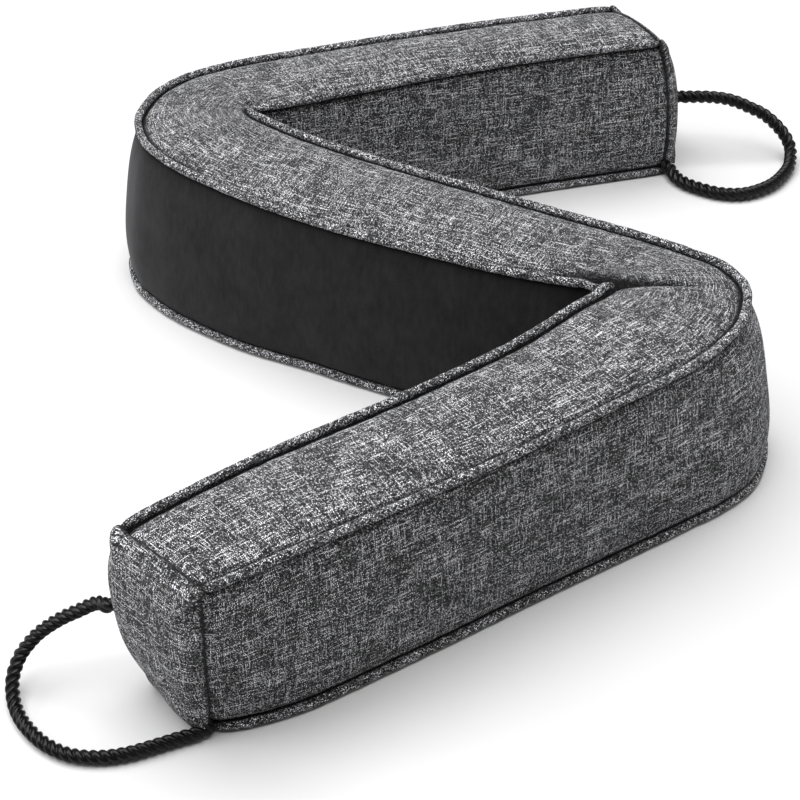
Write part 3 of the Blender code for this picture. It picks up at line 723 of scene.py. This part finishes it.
def ring_piece(name, rings, along, around, finish, tips, turn=False, shade=None):
    """A closed skin from rings of points. tips are the middle points of its two ends."""
    count, sides = rings.shape[:2]
    points = list(rings.reshape(-1, 3))
    faces, uv = [], []
    for i in range(count - 1):
        for j in range(sides):
            k = (j + 1) % sides
            corners = [(i, j, j), (i, k, j + 1), (i + 1, k, j + 1), (i + 1, j, j)]
            if turn:
                corners.reverse()
            faces.append([a * sides + b for a, b, _ in corners])
            uv += [(along[a] * MM, around[c] * MM) for a, _, c in corners]
    for row, tip, flip in ((0, tips[0], not turn), (count - 1, tips[1], turn)):
        points.append(tip)
        for j in range(sides):
            k = (j + 1) % sides
            corners = [row * sides + j, row * sides + k, len(points) - 1]
            spots = [(along[row], around[j]), (along[row], around[j + 1]), (along[row], around[j])]
            if flip:
                corners.reverse()
                spots.reverse()
            faces.append(corners)
            uv += [(a * MM, b * MM) for a, b in spots]
    # The two tips are in full painted shade
    if shade is not None:
        shade = np.append(shade.ravel(), [1.0, 1.0])
    return new_piece(name, points, faces, uv, finish, shade)


def thicken(piece, thickness):
    """Gives a cloth its thickness, on the inside."""
    pick(piece)
    bpy.ops.object.modifier_add(type="SOLIDIFY")
    solid = piece.modifiers[-1]
    solid.thickness = thickness * MM
    solid.offset = -1.0
    bpy.ops.object.modifier_apply(modifier=solid.name)
    bpy.ops.object.shade_smooth_by_angle(angle=math.radians(50.0))


def smooth_all(piece):
    pick(piece)
    bpy.ops.object.shade_smooth()


def place_in_frame(piece, slot, *nodes):
    """Lets a piece ride the one body in place of its nodes."""
    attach(piece, "root")
    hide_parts(*nodes)


def spans(points):
    """How far across each station of a panel its places are."""
    steps = np.linalg.norm(np.diff(points, axis=1), axis=2)
    return np.concatenate([np.zeros((len(points), 1)), np.cumsum(steps, axis=1)], axis=1)


def panel(name, points, run, finish, slot, node, turn=False, painted_crease_shade=0.0, shaded=SEAM_SHADE):
    """A long cloth between two cords. folds is the painted shade of a crease at each point."""
    across = spans(points)
    along = np.repeat(run[:, None], points.shape[1], axis=1)
    from_cord = np.minimum(across, across[:, -1:] - across)
    from_end = np.minimum(along, run[-1] - along)
    # Painted shade beside the cords, at the plain seams of the ends, and in the creases
    shade = np.maximum(np.exp(-((from_cord / shaded) ** 4)), bell(from_end, END_SHADE))
    shade = np.maximum(painted_crease_shade, shade)
    piece = grid_piece(name, points, along, across - across[:, -1:] / 2, finish, shade, turn)
    thicken(piece, THICKNESS)
    place_in_frame(piece, slot, node)


def dome_share(size):
    """How far out a ring of a dome stands, from 0 at the edge to 1 in the middle."""
    return (1.0 - size**4) ** 0.46


def dome_ring(outline, middle, direction, end, size, stand):
    """One ring of an end's dome, lower at the foot and under a shoulder."""
    to_right = np.cross(UP, direction) * (1.0 if end is FRONT_END else -1.0)
    across = (outline - middle) @ to_right
    across = np.clip(across / np.abs(across).max(), -1.0, 1.0)
    low = (end.low_left * (1.0 - across) + end.low_right * (1.0 + across)) / 2
    ring = middle + (outline - middle) * size
    level = np.clip(ring[:, 2] / end.full, 0.0, 1.0)
    swell = low + (1.0 - low) * level * (2.0 - level)
    swell = swell * (1.0 - end.shoulder * np.exp((ring[:, 2] - outline[:, 2].max()) / SHOULDER_REACH))
    return ring + direction * (stand + end.dome * dome_share(size) * swell)[:, None]


def end_middle(outline):
    """The middle of an end, half way up it."""
    middle = outline.mean(axis=0)
    middle[2] = (outline[:, 2].min() + outline[:, 2].max()) / 2
    return middle


def end_panel(name, cushion, station, finish, node):
    """A domed end, with its edge rolled in beside the seam all round."""
    sign, end = (-1.0, FRONT_END) if station == 0 else (1.0, REAR_END)
    direction = np.append(cushion.ahead[station] * sign, 0.0)
    outline = cushion.end_outline(station)
    middle = end_middle(outline)
    rings = [middle + (outline - middle) * size + direction * stand for size, stand in EDGE_RINGS]
    rings += [dome_ring(outline, middle, direction, end, size, DOME_STAND) for size in DOME_RINGS]
    rings = np.stack(rings)
    tip = middle + direction * (DOME_STAND + end.dome)
    sides = rings.shape[1]
    points = list(rings.reshape(-1, 3)) + [tip]
    out = np.append(cushion.out[station], 0.0)
    inward = np.diff(np.concatenate([rings, np.broadcast_to(tip, (1, sides, 3))]), axis=0)
    reach = np.cumsum(np.linalg.norm(inward, axis=2)[::-1], axis=0)[::-1]
    bearing = unit(np.stack([(outline - middle) @ out, outline[:, 2] - middle[2]], axis=1))
    flat = np.concatenate([(reach[..., None] * bearing).reshape(-1, 2), [[0.0, 0.0]]]) * MM
    faces = []
    for i in range(len(rings) - 1):
        for j in range(sides):
            k = (j + 1) % sides
            faces.append([i * sides + j, i * sides + k, (i + 1) * sides + k, (i + 1) * sides + j])
    last = (len(rings) - 1) * sides
    for j in range(sides):
        faces.append([last + j, last + (j + 1) % sides, len(points) - 1])
    if sign < 0:
        faces = [face[::-1] for face in faces]
    uv = [flat[p] for face in faces for p in face]
    # Painted shade along the rim, beside the seam with the long panels
    from_rim = np.maximum(reach[len(EDGE_RINGS) - 1] - reach, 0.0)
    shade = np.append(bell(from_rim, END_SHADE).ravel(), 0.0)
    piece = new_piece(name, points, faces, uv, finish, shade)
    thicken(piece, THICKNESS)
    place_in_frame(piece, "grey_weave", node)


def filled_cushion(cushion, finish):
    """The filling, with the base panel as its flat underside, at every second station."""
    every = list(range(0, cushion.count, 2))
    if every[-1] != cushion.count - 1:
        every.append(cushion.count - 1)
    top = cushion.top(UNDER, rolled=False)[:, 4:-4:2]
    right = cushion.side(1, UNDER, rolled=False)[:, 3:-3:2]
    left = cushion.side(-1, UNDER, rolled=False)[:, 3:-3:2]
    rings = []
    for i in every:
        base = cushion.base(i)
        rings.append(np.concatenate([top[i], right[i], base[::-1], left[i][::-1]]))
    rings = np.array(rings)
    caps = []
    for station, sign, end in ((0, -1.0, FRONT_END), (-1, 1.0, REAR_END)):
        direction = np.append(cushion.ahead[station] * sign, 0.0)
        edge = rings[station]
        middle = end_middle(edge)
        edge[:, 2] = np.maximum(edge[:, 2], END_LIFT)
        rings[station] = edge - direction * END_INSIDE
        inner = [dome_ring(edge, middle, direction, end, size, -END_INSIDE) for size in (0.95, 0.8, 0.5)]
        caps.append((np.array(inner), middle + direction * (end.dome - END_INSIDE)))
    rings = np.concatenate([caps[0][0][::-1], rings, caps[1][0]])
    along = length_to(rings.mean(axis=1))
    around = np.append(length_to(rings[len(rings) // 2]), GIRTH)
    piece = ring_piece("filled_cushion", rings, along, around, finish, tips=(caps[0][1], caps[1][1]))
    smooth_all(piece)
    place_in_frame(piece, "grey_weave", "filled_body")


def ring_frames(line):
    """Two directions square to a line at each of its points, with no twist."""
    travel = unit(np.gradient(line, axis=0))
    across = unit(np.cross(travel[0], UP))
    sideways, upward = [], []
    for direction in travel:
        across = unit(across - direction * (across @ direction))
        sideways.append(across)
        upward.append(np.cross(direction, across))
    return np.array(sideways), np.array(upward)


def piping(name, cushion, side, top, finish, node):
    """A cord in its bias strip: round, with small gathers, and with its flange in the seam."""
    line = (cushion.top_cord(side) if top else cushion.base_cord(side)).copy()
    line[0, :2] += cushion.ahead[0] * CORD_SHORT
    line[-1, :2] -= cushion.ahead[-1] * CORD_SHORT
    along = length_to(line)
    at = np.linspace(0.0, along[-1], math.ceil(along[-1] / CORD_STEP) + 1)
    line = np.stack([np.interp(at, along, line[:, k]) for k in range(3)], axis=1)
    outward = cushion.outward(side)
    outward = unit(np.stack([np.interp(at, along, outward[:, k]) for k in range(2)], axis=1))
    outward = np.column_stack([outward, np.zeros(len(at))])
    phase = 1.0 + side + 1.7 * top
    lump = 0.045 * np.sin(at / 2.3 + phase) + 0.045 * np.sin(at / 4.1 + 2.0 * phase)
    from_end = np.minimum(at, at[-1] - at)
    lump = lump - CORD_TAPER * bell(from_end, TAPER_REACH)
    inside = math.radians(225.0 if top else 135.0)
    first, last = math.radians(SEAM_ANGLE), math.radians(360.0 - SEAM_ANGLE)
    angles = inside + np.linspace(first, last, CORD_SIDES)
    twist = 0.05 * np.sin(angles[None, :] * 2.0 + at[:, None] / 1.7)
    radius = PIPING / 2 - CORD_SLACK + lump[:, None] + twist
    angles = np.concatenate([angles, inside + np.array([-FLANGE_ANGLE, FLANGE_ANGLE])])
    radius = np.concatenate([radius, np.full((len(at), 2), PIPING / 2 + FLANGE)], axis=1)
    spokes = outward[:, None] * np.cos(angles)[None, :, None] + UP * np.sin(angles)[None, :, None]
    rings = line[:, None] + radius[..., None] * spokes
    girth = rings[len(rings) // 2]
    around = length_to(np.concatenate([girth, girth[:1]]))
    # Painted shade: full on the flange in the seam, fading round the cord from it, at the cord's ends,
    # and in the fold at the right inner corner
    off_seam = np.minimum(np.arange(CORD_SIDES), np.arange(CORD_SIDES)[::-1])
    shade = np.concatenate([np.exp(-off_seam / 0.8), [1.0, 1.0]])
    painted_fold_shade = np.interp(at, along, cushion.painted_fold_shade(side)) * top
    shade = np.maximum(shade, np.maximum(painted_fold_shade, bell(from_end, 1.5))[:, None])
    piece = ring_piece(name, rings, at, around, finish, (line[0], line[-1]), turn=side < 0, shade=shade)
    smooth_all(piece)
    place_in_frame(piece, "grey_weave", node)


def smooth_route(route, step):
    """A smooth curve through a route's points, read at even steps."""
    points = np.array(route, float) - (*TABLE_MIDDLE, 0.0)
    padded = np.vstack([2 * points[0] - points[1], points, 2 * points[-1] - points[-2]])
    fine = []
    for a, b, c, d in zip(padded, padded[1:], padded[2:], padded[3:]):
        for u in np.linspace(0.0, 1.0, 12, endpoint=False):
            fine.append(0.5 * (2 * b + (c - a) * u + (2 * a - 5 * b + 4 * c - d) * u**2
                               + (3 * b - a - 3 * c + d) * u**3))
    fine = np.array(fine + [points[-1]])
    along = length_to(fine)
    at = np.linspace(0.0, along[-1], max(2, round(along[-1] / step)) + 1)
    return np.stack([np.interp(at, along, fine[:, k]) for k in range(3)], axis=1)


def laid_rope(name, handle, finish, node):
    """Three strands laid round each other, from one seam of an end to the other."""
    route = smooth_route(handle.route, ROPE_STEP)
    tucks = [route[0] + handle.tucks[0], route[-1] + handle.tucks[1]]
    ends = [np.linspace(tucks[0], route[0], TUCK_STEPS)[:-1],
            np.linspace(route[-1], tucks[1], TUCK_STEPS)[1:]]
    line = np.concatenate([ends[0], route, ends[1]])
    for _ in range(4):
        line[1:-1] = (line[:-2] + line[1:-1] * 2 + line[2:]) / 4
    along = length_to(line)
    sideways, upward = ring_frames(line)
    sides = STRAND_SIDES * ROPE_STRANDS
    strand = handle.diameter / 2 * STRAND
    centre = handle.diameter / 2 - strand
    spread = 2 * math.pi / ROPE_STRANDS
    rings = []
    for i, place in enumerate(line):
        turn = 2 * math.pi * along[i] / handle.lay
        ring = []
        for k in range(sides):
            lobe = 2 * math.pi * k / sides
            inside = (lobe + spread / 2) % spread - spread / 2
            reach = centre * math.cos(inside) + math.sqrt(strand**2 - (centre * math.sin(inside)) ** 2)
            angle = lobe + turn
            ring.append(place + reach * (sideways[i] * math.cos(angle) + upward[i] * math.sin(angle)))
        rings.append(ring)
    around = np.linspace(0.0, math.pi * handle.diameter, sides + 1)
    piece = ring_piece(name, np.array(rings), along, around, finish, tips=(line[0], line[-1]))
    smooth_all(piece)
    place_in_frame(piece, "black_rope", node)


# Camera, floor and lights

def make_camera():
    """The photograph's camera, as fitted to the seams of the cushion."""
    camera = bpy.data.cameras.new("photograph camera")
    camera.sensor_width, camera.lens = 36.0, CAMERA_LENS
    camera.clip_start = 0.05
    eye = bpy.data.objects.new("photograph camera", camera)
    across, back, height = CAMERA_PLACE
    eye.location = (across - TABLE_MIDDLE[0] * MM, back - TABLE_MIDDLE[1] * MM, height)
    eye.rotation_euler = (math.pi / 2 - CAMERA_PITCH, 0.0, 0.0)
    bpy.context.scene.collection.objects.link(eye)
    bpy.context.scene.camera = eye


def make_softbox(name, place, target, size, power):
    """A rectangle of soft light at a place, turned towards a target."""
    lamp = bpy.data.lights.new(name, "AREA")
    lamp.shape = "RECTANGLE"
    lamp.size, lamp.size_y = size
    lamp.energy = power
    box = bpy.data.objects.new(name, lamp)
    box.location = place
    away = np.array(place, float) - np.array(target, float)
    flat = math.hypot(away[0], away[1])
    box.rotation_euler = (math.atan2(flat, away[2]), 0.0, math.atan2(away[0], -away[1]) if flat else 0.0)
    bpy.context.scene.collection.objects.link(box)


def make_studio():
    bpy.ops.object.select_all(action="DESELECT")
    bpy.ops.mesh.primitive_plane_add(size=12.0, location=(0.0, 0.0, -0.0002))
    floor = bpy.context.active_object
    floor.name = "pale_floor"
    floor.data.materials.append(pale_floor("Pale floor"))
    make_softbox("overhead softbox", place=(-0.25, 0.1, 2.2), target=(0.0, 0.1, 0.0),
                 size=(2.4, 2.4), power=112.0)
    make_softbox("left softbox", place=(-1.5, -0.35, 0.7), target=(0.0, 0.0, 0.05),
                 size=(0.8, 0.8), power=14.0)
    make_softbox("right softbox", place=(1.6, 0.2, 0.6), target=(0.0, 0.0, 0.05),
                 size=(0.8, 0.8), power=4.0)
    world = bpy.data.worlds.new("studio")
    world.use_nodes = True
    background = world.node_tree.nodes["Background"]
    background.inputs["Color"].default_value = (1.0, 1.0, 1.0, 1.0)
    background.inputs["Strength"].default_value = 0.2
    bpy.context.scene.world = world
    bpy.context.scene.view_settings.view_transform = "Standard"


def dress():
    """Makes every piece of the cushion and its handles."""
    grey = heather_weave("Grey heather weave")
    # The cords' weave is painted lighter than the panels', a painted highlight along each cord
    bias = heather_weave("Grey heather weave on the bias", turn=math.radians(45.0),
                         lightness=1.4, slubs=0.2)
    loop = loop_pile("Black loop cloth")
    satin = satin_yarn("Black satin rope")

    make_camera()
    laid_rope("rope_front", FRONT_HANDLE, satin, "rope_handle_front")
    laid_rope("rope_rear", REAR_HANDLE, satin, "rope_handle_rear")

    cushion = FoldedCushion()
    filled_cushion(cushion, grey)
    panel("top_cloth", cushion.top(), cushion.cloth_run, grey, "grey_weave", "top_panel",
          painted_crease_shade=cushion.top_crease_painted_shade(), shaded=TOP_SHADE)
    panel("side_cloth_grey", cushion.side(1), cushion.right_run, grey, "grey_weave", "side_panel_grey")
    panel("side_cloth_loop", cushion.side(-1), cushion.left_run, loop, "black_loop", "side_panel_loop",
          turn=True)
    end_panel("end_cloth_front", cushion, 0, grey, "end_panel_front")
    end_panel("end_cloth_rear", cushion, cushion.count - 1, grey, "end_panel_rear")
    for side, word in ((-1, "loop"), (1, "grey")):
        piping("corded_edge_top_" + word, cushion, side, True, bias, "piping_top_" + word)
        piping("corded_edge_base_" + word, cushion, side, False, bias, "piping_base_" + word)


dress()
make_studio()
